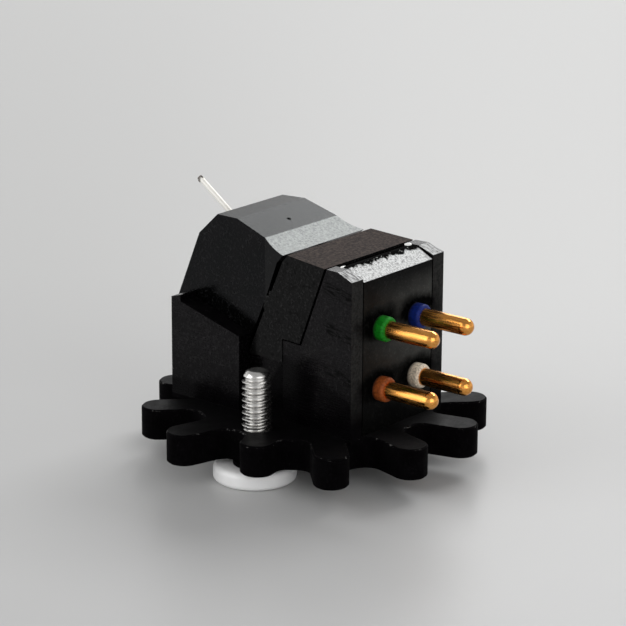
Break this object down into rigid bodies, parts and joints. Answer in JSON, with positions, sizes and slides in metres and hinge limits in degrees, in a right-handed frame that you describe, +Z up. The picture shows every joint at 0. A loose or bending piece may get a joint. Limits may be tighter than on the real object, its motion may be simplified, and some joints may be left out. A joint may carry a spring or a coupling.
{
  "type": "turntable stylus cartridge",
  "caption": "Moving-coil turntable cartridge: black body on a plate with rounded fingers, faceted generator block, sprung cantilever with stylus, gold terminal pins and mounting studs.",
  "frame": {"origin": "midway between the two mounting screws, on the plane of the washers' undersides", "axes": "+Z up, away from the headshell and towards the stylus; +Y to the rear, where the terminal pins point; +X across the cartridge, along the line through the mounting screws"},
  "size_m": [0.0214, 0.0216, 0.0165],
  "materials": {
    "ebony": "black satin, fine scratches",
    "panel_black": "black satin",
    "gold": "polished gold plate",
    "green": "satin colour",
    "blue": "satin colour",
    "red": "satin colour",
    "white": "satin colour",
    "steel": "bright thread",
    "nylon": "translucent white",
    "black_metal": "black satin",
    "magnet": "black sintered, mottled",
    "glue": "glossy black",
    "iron": "bare soft iron",
    "brass": "turned",
    "wire": "drawn",
    "rubber": "matte",
    "former": "matte",
    "copper": "enamelled copper",
    "light_alloy": "drawn",
    "diamond": "polished"
  },
  "bodies": {
    "cartridge": {"body": "ebony", "terminal_panel": "panel_black", "pin_right_ground": "gold", "pin_left_ground": "gold", "pin_right_signal": "gold", "pin_left_signal": "gold", "sleeve_green": "green", "sleeve_blue": "blue", "sleeve_red": "red", "sleeve_white": "white", "mounting_screws": "steel", "nylon_washers": "nylon", "generator_housing": "black_metal", "magnet": "magnet", "glue_bead": "glue", "front_pole": "iron", "rear_pole": "iron", "wire_clamp": "brass", "lead_right_ground": "copper", "lead_left_ground": "copper", "lead_right_signal": "copper", "lead_left_signal": "copper"},
    "suspension": {"suspension_wire": "wire", "damper_ring": "rubber"},
    "lever": {"cantilever": "light_alloy", "stylus": "diamond", "coil_former": "former", "coil_left": "copper", "coil_right": "copper"}
  },
  "joints": [
    {"name": "sideways_swing", "type": "hinge", "parent": "cartridge", "child": "suspension", "pos_m": [0, -0.00456, 0.01225], "axis": [0, 0.5807, 0.8141], "range_deg": [-4, 4], "stiffness_Nm_per_rad": 0.0033},
    {"name": "vertical_swing", "type": "hinge", "parent": "suspension", "child": "lever", "pos_m": [0, -0.00456, 0.01225], "axis": [1, 0, 0], "range_deg": [-4, 6], "stiffness_Nm_per_rad": 0.0033}
  ]
}
